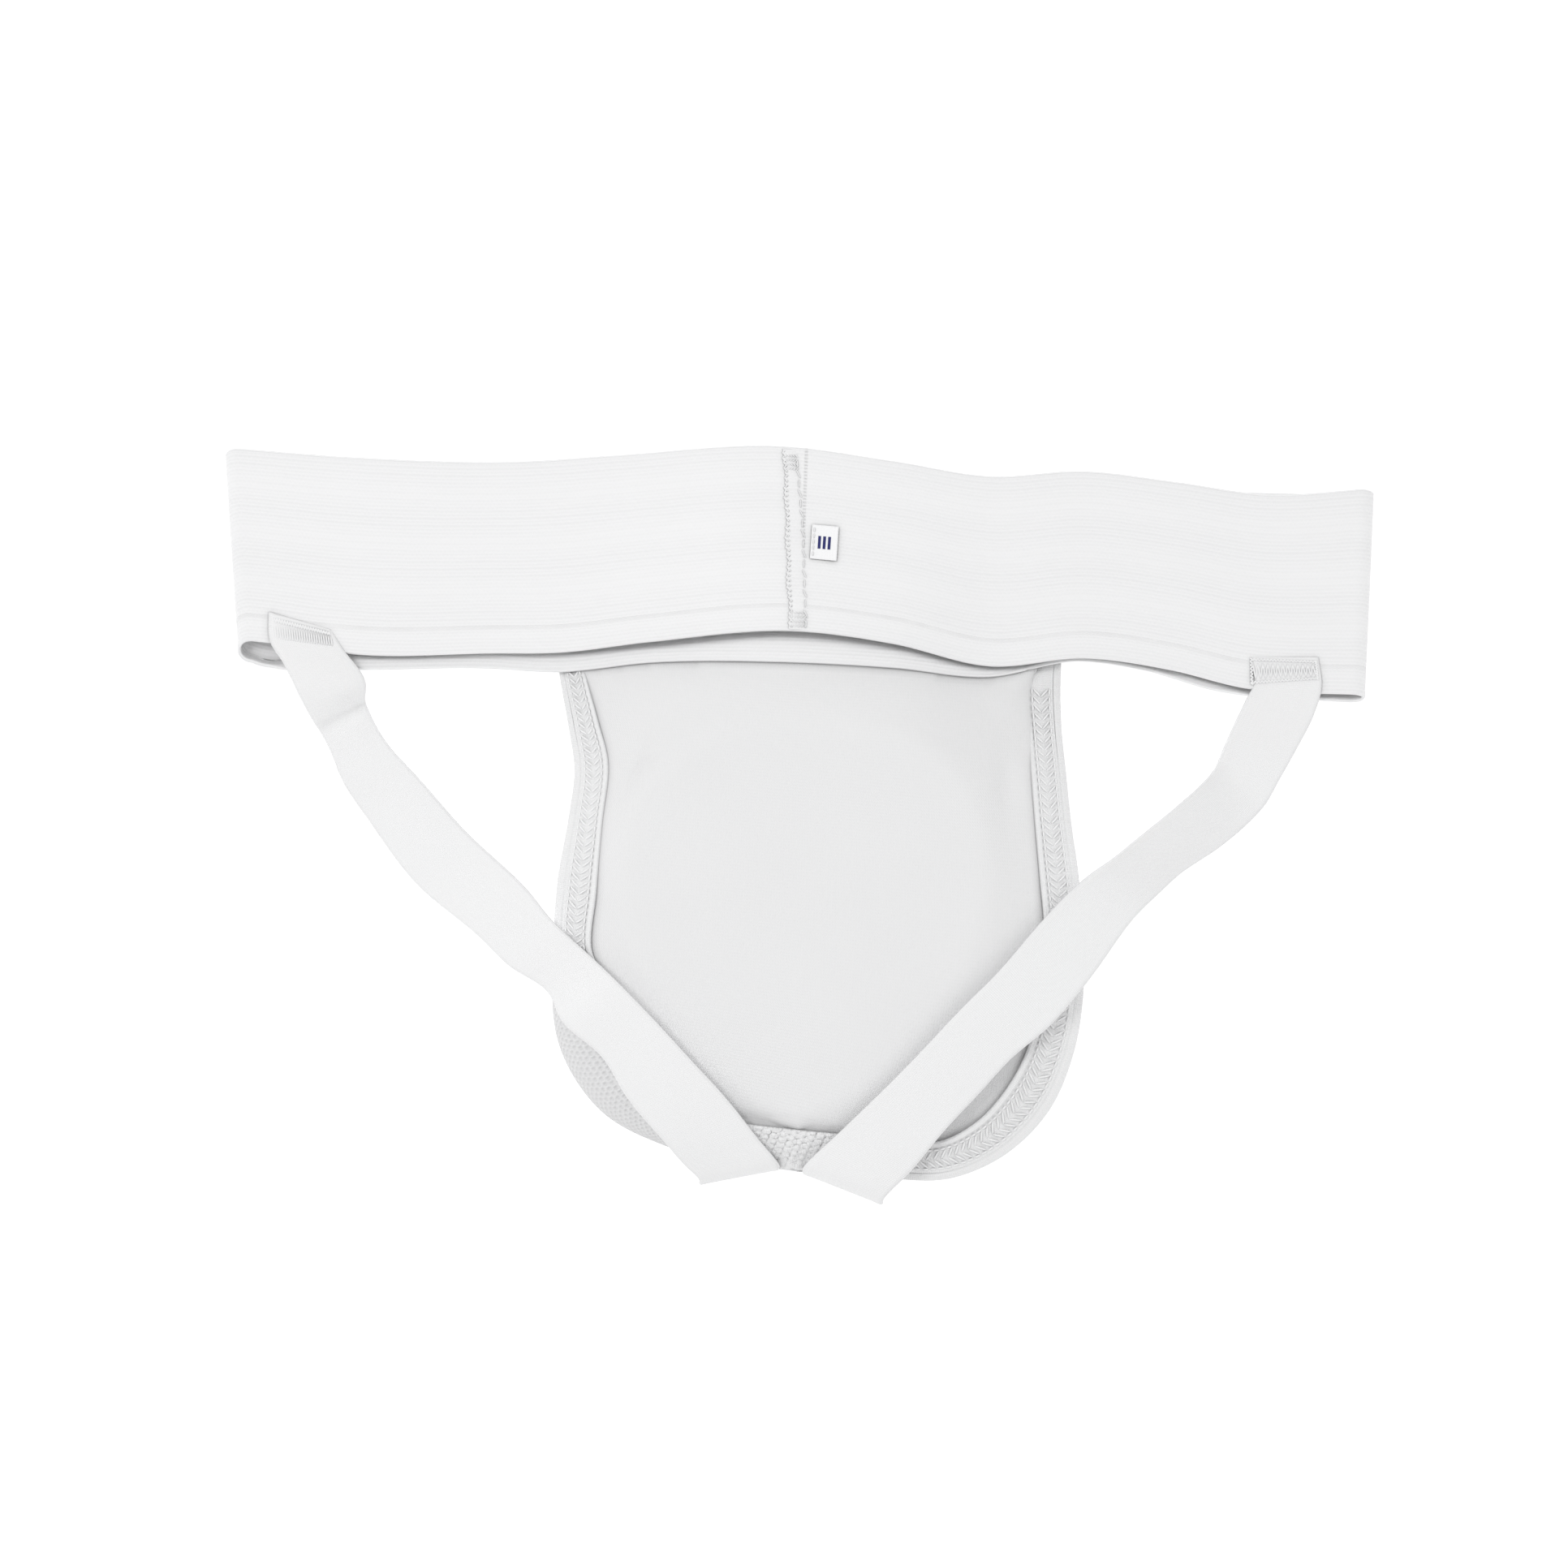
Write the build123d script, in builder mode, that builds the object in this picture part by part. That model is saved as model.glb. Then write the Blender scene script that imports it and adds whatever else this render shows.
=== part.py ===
from build123d import *
from collections import namedtuple
import math
import os

os.makedirs("parts", exist_ok=True)

# An athletic supporter with a removable protective cup, in millimetres.
# It lies on its front with the body side up: X runs along the waistband, Y runs
# from the leg end towards the waist end, and Z is up from the surface it lies on.
# The origin is at the bottom centre of its box.

# ---- Waistband: one wide elastic, sewn into a loop and lying flattened -------
BAND_HALF_LENGTH = 197.0
BAND_WIDTH = 65.0
BAND_WALL = 1.6
BAND_TOP = 121.5
BAND_LOW = BAND_TOP - BAND_WIDTH
LOOP_HEIGHT = 10.0
HUMP_HALF_WIDTH = 100.0
HUMP_FLAT = 18.0
FRONT_HUMP = 20.0
BACK_HUMP = 30.0

# ---- Back seam and size label ----------------------------------------------
SEAM_LEFT = -2.5
SEAM_WIDTH = 8.0
SEAM_THICK = 0.8
SEAM_ROW_INSET = 2.2
SEAM_ROW_GAP = 3.2
THREAD = 0.4
STITCH_LENGTH = 2.2
STITCH_PITCH = 3.4
LABEL_WIDTH = 8.0
LABEL_LENGTH = 11.5
LABEL_THICK = 0.4
LABEL_LOW = 91.5
LABEL_LEFT = 5.8
LABEL_LIFT = 1.2
LABEL_CORNER = 0.6
LABEL_SEAM_INSET = 0.7
LABEL_STITCHES = 3
MARK_THICK = 0.2
MARK_BARS = 3
MARK_BAR_LENGTH = 3.6
MARK_BAR_WIDTH = 0.7
MARK_BAR_PITCH = 1.6

# ---- Leg straps --------------------------------------------------------------
STRAP_THICK = 1.2
TACK_WIDTH = 8.0
TACK_PITCH = 1.25
TACK_COLUMNS = 14
TACK_GAP = 0.3

# ---- Pouch -------------------------------------------------------------------
POUCH_X = 8.0
POUCH_TOP = BAND_LOW - 0.4
BINDING_WIDTH = 12.0
BINDING_THICK = 3.6
SHELL_THICK = 1.2
LINING_THICK = 1.0
HEM_WIDTH = 12.0
HEM_LENGTH = 132.0
HEM_THICK = 0.8
TAPE_WIDTH = 8.0
TAPE_THICK = 0.5
TAB_DEPTH = 2.5
TAB_HEIGHT = 6.5
TAB_BELOW = 2.0

# Cross sections of the pouch from the waistband down to its lower end: y, half width,
# heights of the bound edge, of the shell's middle and of the lining's middle, and the
# half width of the lining's level part.
Station = namedtuple("Station", "y half_width edge_z shell_z lining_z level")
POUCH_STATIONS = [
    Station(POUCH_TOP, 85.0, 1.4, FRONT_HUMP - 0.2, FRONT_HUMP + 3.0, 52.0),
    Station(37.0, 83.0, 9.0, 16.0, 37.2, 44.0),
    Station(22.0, 83.0, 14.0, 5.0, 39.8, 60.0),
    Station(0.0, 84.0, 24.0, 0.6, 43.8, 64.0),
    Station(-25.0, 87.0, 33.0, 0.0, 48.4, 62.0),
    Station(-60.0, 88.0, 41.0, 2.0, 55.2, 50.0),
    Station(-85.0, 78.0, 46.0, 14.0, 60.0, 32.0),
    Station(-96.0, 67.0, 48.5, 26.0, 61.0, 20.0),
    Station(-104.0, 56.0, 50.0, 38.0, 58.5, 16.0),
    Station(-112.0, 40.0, 51.0, 48.0, 55.5, 14.0),
]
SHELL_POWER = 2.6
SHELL_SHARES = (0.0, 0.3, 0.6, 0.85, 1.0)
LINING_GAP = 0.4
TAPE_GAP = 0.1

# ---- Protective cup ------------------------------------------------------------
CUP_CENTRE = (POUCH_X - 1.0, -30.0, 44.0)
CUP_TILT = 10.5
CUP_HALF_WIDTH = 55.0
CUP_HALF_LENGTH = 60.0
CUP_SIDE = [(38, 51), (CUP_HALF_WIDTH, 22), (50, -12), (28, -43)]
# Depth below the rim and share of the rim's size, for the outside and the hollow.
CUP_STEPS = [(0.0, 1.0), (14.0, 0.95), (26.0, 0.82), (35.0, 0.58), (38.5, 0.3)]
HOLLOW_STEPS = [(0.0, 0.955), (13.0, 0.9), (24.5, 0.77), (33.0, 0.53), (36.0, 0.28)]
FLANGE_OUT = 4.0
FLANGE_IN = -2.4
FLANGE_THICK = 2.0
CUSHION_OUT = 5.5
CUSHION_LIP = 1.5
CUSHION_TOP_IN = -1.0
CUSHION_UNDER_IN = 0.6
VENT_LENGTH = 14.0
VENT_WIDTH = 4.0
VENT_COLUMNS = 5
VENT_ROWS = 2
VENT_CUT_LOW = -45.0
VENT_CUT_DEPTH = 25.0


def hump(height, base):
    """Points of one layer of the band from its left flat to its right flat, at a middle height."""
    return [
        (POUCH_X - HUMP_HALF_WIDTH, base),
        (POUCH_X - HUMP_FLAT, height),
        (POUCH_X + HUMP_FLAT, height),
        (POUCH_X + HUMP_HALF_WIDTH, base),
    ]


def layer(points, end):
    """One layer of the band, from the left end to the right end, level apart from its hump."""
    left, rise, fall, right = points
    Line((-end, left[1]), left)
    Spline(left, rise, tangents=[(1, 0), (1, 0)])
    Line(rise, fall)
    Spline(fall, right, tangents=[(1, 0), (1, 0)])
    Line(right, (end, right[1]))


def loop_outline(inset):
    """The flattened loop seen from its end, drawn inset from its outer face."""
    radius = LOOP_HEIGHT / 2 - inset
    end = BAND_HALF_LENGTH - LOOP_HEIGHT / 2
    with BuildSketch(across(BAND_LOW)) as outline:
        with BuildLine():
            layer(hump(FRONT_HUMP + inset, inset), end)
            layer(hump(BACK_HUMP - inset, LOOP_HEIGHT - inset), end)
            for side in (-1, 1):
                ThreePointArc(
                    (side * end, inset),
                    (side * (end + radius), LOOP_HEIGHT / 2),
                    (side * end, LOOP_HEIGHT - inset),
                )
        make_face()
    return outline.sketch


def across(y):
    """A plane that cuts the supporter across at y, with its own x and y along X and Z."""
    return Plane.XZ.offset(-y)


def cloth_section(y, points, thick):
    """A sheet of cloth cut across at y: a curve, and the same curve one thickness higher."""
    raised = [(x, z + thick) for x, z in reversed(points)]
    with BuildSketch(across(y)) as section:
        with BuildLine():
            Spline(*points)
            Line(points[-1], raised[0])
            Spline(*raised)
            Line(raised[-1], points[0])
        make_face()
    return section.sketch


def box_section(y, x_low, x_high, z_low, thick):
    """A level strip cut across at y."""
    with BuildSketch(across(y)) as section:
        with Locations(((x_low + x_high) / 2, z_low + thick / 2)):
            Rectangle(x_high - x_low, thick)
    return section.sketch


def shell_curve(side, station):
    """One half of the outer shell, from the middle seam to the bound edge."""
    reach = station.half_width - BINDING_WIDTH
    depth = station.edge_z - station.shell_z
    return [
        (POUCH_X + side * u * reach, station.edge_z - depth * (1 - u**SHELL_POWER))
        for u in SHELL_SHARES
    ]


def lining_curve(station):
    """The lining over the cup: level in the middle, falling to the bound edges."""
    reach = station.half_width - BINDING_WIDTH
    low = station.edge_z + SHELL_THICK + LINING_GAP
    top = station.lining_z
    flank = (station.level + reach) / 2
    half = [(0, top), (station.level * 0.6, top), (station.level, top - 0.5)]
    half += [(flank, (top + low) / 2), (reach, low)]
    mirrored = [(POUCH_X - x, z) for x, z in reversed(half[1:])]
    return mirrored + [(POUCH_X + x, z) for x, z in half]


def egg(height, share=1.0, grow=0.0):
    """The cup's outline at a height over its rim, wide at the waist end, scaled and grown."""
    left = [(-x, y) for x, y in reversed(CUP_SIDE)]
    outline = [(0, CUP_HALF_LENGTH)] + CUP_SIDE + [(0, -CUP_HALF_LENGTH)] + left
    wide = share + grow / CUP_HALF_WIDTH
    long = share + grow / CUP_HALF_LENGTH
    with BuildSketch(rim_plane.offset(height)) as section:
        with BuildLine():
            Spline(*[(wide * x, long * y) for x, y in outline], periodic=True)
        make_face()
    return section.sketch


def egg_ring(outer, inner, low, high):
    """A ring of the rim between two offsets of the cup's outline and two heights over it."""
    extrude(egg(low, grow=outer), amount=high - low)
    extrude(egg(low, grow=inner), amount=high - low, mode=Mode.SUBTRACT)


rim_plane = Plane(
    origin=CUP_CENTRE,
    x_dir=(1, 0, 0),
    z_dir=(0, math.sin(math.radians(CUP_TILT)), math.cos(math.radians(CUP_TILT))),
)

# ---- Waistband -------------------------------------------------------------------
with BuildPart() as waistband:
    extrude(loop_outline(0), amount=-BAND_WIDTH)
    extrude(loop_outline(BAND_WALL), amount=-BAND_WIDTH, mode=Mode.SUBTRACT)

# The two ends of the elastic overlap in a narrow strip on the middle of the back.
with BuildPart() as back_seam_overlap:
    with BuildSketch(Plane.XY.offset(BACK_HUMP)):
        with Locations((SEAM_LEFT + SEAM_WIDTH / 2, (BAND_TOP + BAND_LOW) / 2)):
            Rectangle(SEAM_WIDTH, BAND_WIDTH)
    extrude(amount=SEAM_THICK)

seam_top = Plane.XY.offset(BACK_HUMP + SEAM_THICK)

# Two rows of lock stitches hold the overlap.
with BuildPart() as back_seam_stitches:
    with BuildSketch(seam_top):
        with Locations((SEAM_LEFT + SEAM_ROW_INSET, (BAND_TOP + BAND_LOW) / 2)):
            with GridLocations(SEAM_ROW_GAP, STITCH_PITCH, 2, int(BAND_WIDTH / STITCH_PITCH)):
                Rectangle(THREAD, STITCH_LENGTH)
    extrude(amount=THREAD / 2)

# ---- Size label ----------------------------------------------------------------
label_middle = LABEL_LOW + LABEL_LENGTH / 2

with BuildPart() as label_stitches:
    with BuildSketch(seam_top):
        with Locations((SEAM_LEFT + SEAM_WIDTH - LABEL_SEAM_INSET, label_middle)):
            with GridLocations(1, STITCH_PITCH, 1, LABEL_STITCHES):
                Rectangle(THREAD, STITCH_LENGTH)
    extrude(amount=THREAD / 2)

with BuildPart() as size_label:
    with BuildSketch(Plane.XY.offset(BACK_HUMP + LABEL_LIFT)):
        with Locations((LABEL_LEFT + LABEL_WIDTH / 2, label_middle)):
            Rectangle(LABEL_WIDTH, LABEL_LENGTH)
    extrude(amount=LABEL_THICK)
    fillet(size_label.edges().filter_by(Axis.Z).group_by(Axis.X)[-1], radius=LABEL_CORNER)

# The printed size mark is a plain row of short bars.
with BuildPart() as size_mark:
    with BuildSketch(Plane.XY.offset(BACK_HUMP + LABEL_LIFT + LABEL_THICK)):
        with Locations((LABEL_LEFT + LABEL_WIDTH / 2, label_middle)):
            with GridLocations(1, MARK_BAR_PITCH, 1, MARK_BARS):
                Rectangle(MARK_BAR_LENGTH, MARK_BAR_WIDTH)
    extrude(amount=MARK_THICK)

# ---- Leg straps ------------------------------------------------------------------
# Each strap is a flat elastic. A station gives its outer edge, its inner edge and the
# height of its under face. It starts on the back of the band, passes over the bound
# edge and the lining, and turns down over the lower end of the pouch.
LEFT_STRAP = [
    ((-179.5, 67.5), (-158.5, 64.0), LOOP_HEIGHT),
    ((-178.5, 56.5), (-154.5, 56.5), LOOP_HEIGHT),
    ((-168.0, 39.0), (-147.0, 42.0), 9.0),
    ((-159.5, 23.0), (-145.0, 34.0), 6.5),
    ((-143.5, -1.0), (-127.0, 13.0), 11.0),
    ((-125.5, -22.0), (-109.0, -5.0), 20.0),
    ((-101.5, -40.0), (-84.0, -26.0), 36.0),
    ((-82.0, -55.0), (-64.0, -43.0), 50.0),
    ((-62.0, -74.0), (-45.0, -61.0), 60.0),
    ((-42.0, -97.0), (-20.0, -86.0), 63.5),
    ((-24.0, -118.0), (1.5, -114.5), 60.0),
]
RIGHT_STRAP = [
    ((180.0, 67.0), (157.0, 67.0), LOOP_HEIGHT),
    ((180.5, 56.5), (158.0, 56.5), LOOP_HEIGHT),
    ((175.0, 38.0), (151.0, 40.0), 10.0),
    ((164.0, 14.0), (146.5, 25.0), 8.0),
    ((149.5, 0.0), (132.0, 12.0), 14.0),
    ((133.5, -11.0), (116.0, 2.0), 24.0),
    ((112.0, -33.0), (93.0, -20.0), 41.0),
    ((97.0, -51.0), (77.0, -37.0), 51.5),
    ((78.0, -69.0), (59.0, -55.0), 59.5),
    ((57.0, -94.0), (37.0, -81.0), 63.5),
    ((35.5, -120.3), (11.0, -114.5), 60.0),
]
STRAP_TURN_DOWN = 8.0


def strap_section(outer, inner, z, facing=0):
    """A cross section of a strap. facing 0 is a strap that lies level, 1 or -1 one that hangs."""
    start = Vector(*outer, z)
    width = Vector(*inner, z) - start
    thickness = Vector(0, 0, 1)
    if facing:
        thickness = width.cross(thickness).normalized() * facing
    section_plane = Plane(origin=start, x_dir=width, z_dir=width.cross(thickness))
    with BuildSketch(section_plane) as section:
        Rectangle(width.length, STRAP_THICK, align=(Align.MIN, Align.MIN))
    return section.sketch


def leg_strap(stations, facing):
    """A strap lofted through its stations, then down over the end of the pouch."""
    loft([strap_section(*station) for station in stations], ruled=True)
    outer, inner, z = stations[-1]
    top = strap_section(outer, inner, z + STRAP_THICK, facing)
    bottom = strap_section(outer, inner, z - STRAP_TURN_DOWN, facing)
    loft([top, bottom], ruled=True)


with BuildPart() as left_leg_strap:
    leg_strap(LEFT_STRAP, 1)

with BuildPart() as right_leg_strap:
    leg_strap(RIGHT_STRAP, -1)


def tack(stations):
    """Dense rows of thread that hold a strap's end on the band."""
    corners = [corner for outer, inner, z in stations[:2] for corner in (outer, inner)]
    middle = (sum(x for x, y in corners) / 4, sum(y for x, y in corners) / 4)
    with BuildSketch(Plane.XY.offset(LOOP_HEIGHT + STRAP_THICK)) as rows:
        with Locations(middle):
            with GridLocations(TACK_PITCH, TACK_WIDTH / 2 + TACK_GAP, TACK_COLUMNS, 2):
                Rectangle(THREAD, TACK_WIDTH / 2)
    extrude(rows.sketch, amount=THREAD)


with BuildPart() as left_strap_tack:
    tack(LEFT_STRAP)

with BuildPart() as right_strap_tack:
    tack(RIGHT_STRAP)

# ---- Pouch -----------------------------------------------------------------------
# The top of the pouch cloth is sewn along the under face of the band's front layer.
with BuildPart() as pouch_top_hem:
    with BuildSketch(across(BAND_LOW)):
        with BuildLine():
            layer(hump(FRONT_HUMP, 0), BAND_HALF_LENGTH)
            layer(hump(FRONT_HUMP - HEM_THICK, -HEM_THICK), BAND_HALF_LENGTH)
            for end in (-BAND_HALF_LENGTH, BAND_HALF_LENGTH):
                Line((end, 0), (end, -HEM_THICK))
        make_face()
        with Locations((POUCH_X, FRONT_HUMP / 2)):
            Rectangle(HEM_LENGTH, 2 * FRONT_HUMP, mode=Mode.INTERSECT)
    extrude(amount=-HEM_WIDTH)

for name, side in (("left", -1), ("right", 1)):
    with BuildPart() as front_panel:
        sections = [
            cloth_section(station.y, shell_curve(side, station), SHELL_THICK)
            for station in POUCH_STATIONS
        ]
        loft(sections, ruled=True)
    front_panel.part.label = f"front_panel_{name}"
    export_step(front_panel.part, f"parts/front_panel_{name}.step")

    with BuildPart() as binding:
        sections = []
        for station in POUCH_STATIONS:
            edge = POUCH_X + side * station.half_width
            low, high = sorted((edge, edge - side * BINDING_WIDTH))
            sections.append(box_section(station.y, low, high, station.edge_z, BINDING_THICK))
        loft(sections, ruled=True)
    binding.part.label = f"{name}_binding"
    export_step(binding.part, f"parts/{name}_binding.step")

# A tape covers the shell's middle seam on the inside.
with BuildPart() as front_seam_tape:
    sections = []
    half = TAPE_WIDTH / 2
    for station in POUCH_STATIONS[:-1]:
        low = station.shell_z + SHELL_THICK + TAPE_GAP
        sections.append(box_section(station.y, POUCH_X - half, POUCH_X + half, low, TAPE_THICK))
    loft(sections, ruled=True)

with BuildPart() as pocket_lining:
    sections = [
        cloth_section(station.y, lining_curve(station), LINING_THICK)
        for station in POUCH_STATIONS
    ]
    loft(sections, ruled=True)

lower_end = POUCH_STATIONS[-1]

with BuildPart() as bottom_tab:
    with BuildSketch(Plane.XY.offset(lower_end.edge_z - TAB_BELOW)):
        with Locations((POUCH_X, lower_end.y)):
            tab_width = 2 * (lower_end.half_width - 1)
            Rectangle(tab_width, TAB_DEPTH, align=(Align.CENTER, Align.MAX))
    extrude(amount=TAB_HEIGHT)

# ---- Protective cup ------------------------------------------------------------
with BuildPart() as cup_shell:
    loft([egg(-depth, share) for depth, share in CUP_STEPS])
    loft([egg(-depth, share) for depth, share in HOLLOW_STEPS], mode=Mode.SUBTRACT)
    egg_ring(FLANGE_OUT, FLANGE_IN, 0, FLANGE_THICK)
    with BuildSketch(rim_plane.offset(VENT_CUT_LOW)):
        with GridLocations(2.4 * VENT_WIDTH, 1.6 * VENT_LENGTH, VENT_COLUMNS, VENT_ROWS):
            SlotOverall(VENT_LENGTH, VENT_WIDTH, rotation=90)
    extrude(amount=VENT_CUT_DEPTH, mode=Mode.SUBTRACT)

# A soft rubber edge grips the flange all round.
with BuildPart() as cup_rim_cushion:
    egg_ring(CUSHION_OUT, CUSHION_TOP_IN, FLANGE_THICK, FLANGE_THICK + CUSHION_LIP)
    egg_ring(CUSHION_OUT, FLANGE_OUT, 0, FLANGE_THICK)
    egg_ring(CUSHION_OUT, CUSHION_UNDER_IN, -CUSHION_LIP, 0)

PIECES = {
    "waistband": waistband,
    "back_seam_overlap": back_seam_overlap,
    "back_seam_stitches": back_seam_stitches,
    "label_stitches": label_stitches,
    "size_label": size_label,
    "size_mark": size_mark,
    "left_leg_strap": left_leg_strap,
    "right_leg_strap": right_leg_strap,
    "left_strap_tack": left_strap_tack,
    "right_strap_tack": right_strap_tack,
    "pouch_top_hem": pouch_top_hem,
    "front_seam_tape": front_seam_tape,
    "pocket_lining": pocket_lining,
    "bottom_tab": bottom_tab,
    "cup_shell": cup_shell,
    "cup_rim_cushion": cup_rim_cushion,
}
for name, piece in PIECES.items():
    piece.part.label = name
    export_step(piece.part, f"parts/{name}.step")
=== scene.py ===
"""Looks of an athletic supporter with a protective cup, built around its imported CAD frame.

Lengths are in millimetres here and become metres when a mesh is made. X runs along the
waistband, Y from the leg end towards the waist end, and Z up from the floor.
"""

import math

import bmesh
import bpy
import numpy as np
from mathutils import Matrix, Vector


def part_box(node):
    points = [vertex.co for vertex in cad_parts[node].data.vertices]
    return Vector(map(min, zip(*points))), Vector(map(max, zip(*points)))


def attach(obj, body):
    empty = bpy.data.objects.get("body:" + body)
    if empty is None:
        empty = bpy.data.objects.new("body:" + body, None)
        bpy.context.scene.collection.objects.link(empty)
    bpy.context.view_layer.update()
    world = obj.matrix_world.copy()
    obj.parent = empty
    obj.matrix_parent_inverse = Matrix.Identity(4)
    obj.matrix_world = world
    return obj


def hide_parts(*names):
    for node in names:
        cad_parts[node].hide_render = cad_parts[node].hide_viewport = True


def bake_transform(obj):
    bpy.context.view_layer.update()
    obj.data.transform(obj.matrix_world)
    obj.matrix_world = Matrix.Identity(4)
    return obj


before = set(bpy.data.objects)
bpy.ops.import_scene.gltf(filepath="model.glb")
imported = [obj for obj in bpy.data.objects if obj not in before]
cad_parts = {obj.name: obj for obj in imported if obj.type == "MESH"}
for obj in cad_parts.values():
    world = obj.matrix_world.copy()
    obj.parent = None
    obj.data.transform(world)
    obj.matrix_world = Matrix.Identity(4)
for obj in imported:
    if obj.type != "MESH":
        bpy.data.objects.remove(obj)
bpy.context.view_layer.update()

MM = 0.001
UP = np.array([0.0, 0.0, 1.0])
ROOT, POUCH, LABEL = "waistband", "pouch", "label"


def cad_box(node):
    """A CAD node's lowest and highest corners, in millimetres."""
    low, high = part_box(node)
    return np.array(low) / MM, np.array(high) / MM


# ---- Driving sizes -------------------------------------------------------------
BAND_THICK = 1.3
STRAP_THICK = 1.1
BINDING_THICK = 1.4
LINING_THICK = 0.7
SHELL_THICK = 0.9
POUCH_X = 8.0


# ---- Curves and grids ----------------------------------------------------------
def through(points, at):
    """Values at positions of a smooth curve through points, each (position, value, ...)."""
    table = np.array(points, float)
    knots, values = table[:, 0], table[:, 1:]
    at = np.clip(np.asarray(at, float), knots[0], knots[-1])
    slopes = np.gradient(values, knots, axis=0, edge_order=1)
    index = np.clip(np.searchsorted(knots, at, side="right") - 1, 0, len(knots) - 2)
    step = (knots[index + 1] - knots[index])[..., None]
    t = (at[..., None] - knots[index][..., None]) / step
    start = (2 * t**3 - 3 * t**2 + 1) * values[index] + (t**3 - 2 * t**2 + t) * step * slopes[index]
    finish = (3 * t**2 - 2 * t**3) * values[index + 1] + (t**3 - t**2) * step * slopes[index + 1]
    found = start + finish
    return found[..., 0] if found.shape[-1] == 1 else found


def along(stations, count):
    """A smooth path of count points, evenly spaced by the length of the first three columns."""
    stations = np.array(stations, float)
    reach = np.linalg.norm(np.diff(stations[:, :3], axis=0), axis=1)
    knots = np.concatenate([[0], np.cumsum(reach)])
    table = np.column_stack([knots, stations])
    return through(table, np.linspace(0, knots[-1], count))


def eased(t):
    """0 to 1 with level ends."""
    t = np.clip(t, 0, 1)
    return t * t * (3 - 2 * t)


def bump_at(x, centre, width):
    """A smooth hump of height 1."""
    return np.exp(-(((x - centre) / width) ** 2))


def ripple(x, y, length):
    """Gentle unevenness of cloth, about -1 to 1."""
    a, b = x / length, y / length
    return (
        np.sin(1.7 * a + 0.6 * b + 0.4)
        + 0.7 * np.sin(-1.1 * a + 2.3 * b + 1.9)
        + 0.5 * np.sin(3.1 * a + 1.3 * b + 4.1)
    ) / 2.2


def unit(vectors):
    """Vectors scaled to length 1."""
    return vectors / np.maximum(np.linalg.norm(vectors, axis=-1, keepdims=True), 1e-9)


def normals_of(grid, wrap):
    """Normals of a grid of points, rows by columns."""
    if wrap:
        across = np.roll(grid, -1, axis=1) - np.roll(grid, 1, axis=1)
    else:
        across = np.gradient(grid, axis=1)
    return unit(np.cross(across, np.gradient(grid, axis=0)))


def lengths_along(grid, axis):
    """Distance along a grid's middle line, one value for each row or column."""
    line = grid[:, grid.shape[1] // 2] if axis == 0 else grid[grid.shape[0] // 2]
    return np.concatenate([[0], np.cumsum(np.linalg.norm(np.diff(line, axis=0), axis=1))])


def finish_piece(obj, body, material, replaced=(), blend=False):
    """What every piece needs: its material, its CAD nodes and the body it follows."""
    obj.data.materials.append(material)
    if replaced:
        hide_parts(*replaced)
    if blend:
        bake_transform(obj)
    else:
        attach(obj, body)
    return obj


def new_object(name, vertices, faces, uv=None):
    """A smooth-shaded mesh object from points in millimetres, with its cloth map in metres."""
    mesh = bpy.data.meshes.new(name)
    mesh.from_pydata((np.asarray(vertices) * MM).tolist(), [], faces)
    if uv is not None:
        layer = mesh.uv_layers.new(name="cloth")
        corners = np.array([loop.vertex_index for loop in mesh.loops])
        layer.data.foreach_set("uv", (np.asarray(uv)[corners] * MM).ravel())
    mesh.polygons.foreach_set("use_smooth", [True] * len(mesh.polygons))
    outward = bmesh.new()
    outward.from_mesh(mesh)
    bmesh.ops.recalc_face_normals(outward, faces=outward.faces)
    outward.to_mesh(mesh)
    outward.free()
    mesh.update()
    obj = bpy.data.objects.new(name, mesh)
    bpy.context.scene.collection.objects.link(obj)
    return obj


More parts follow.
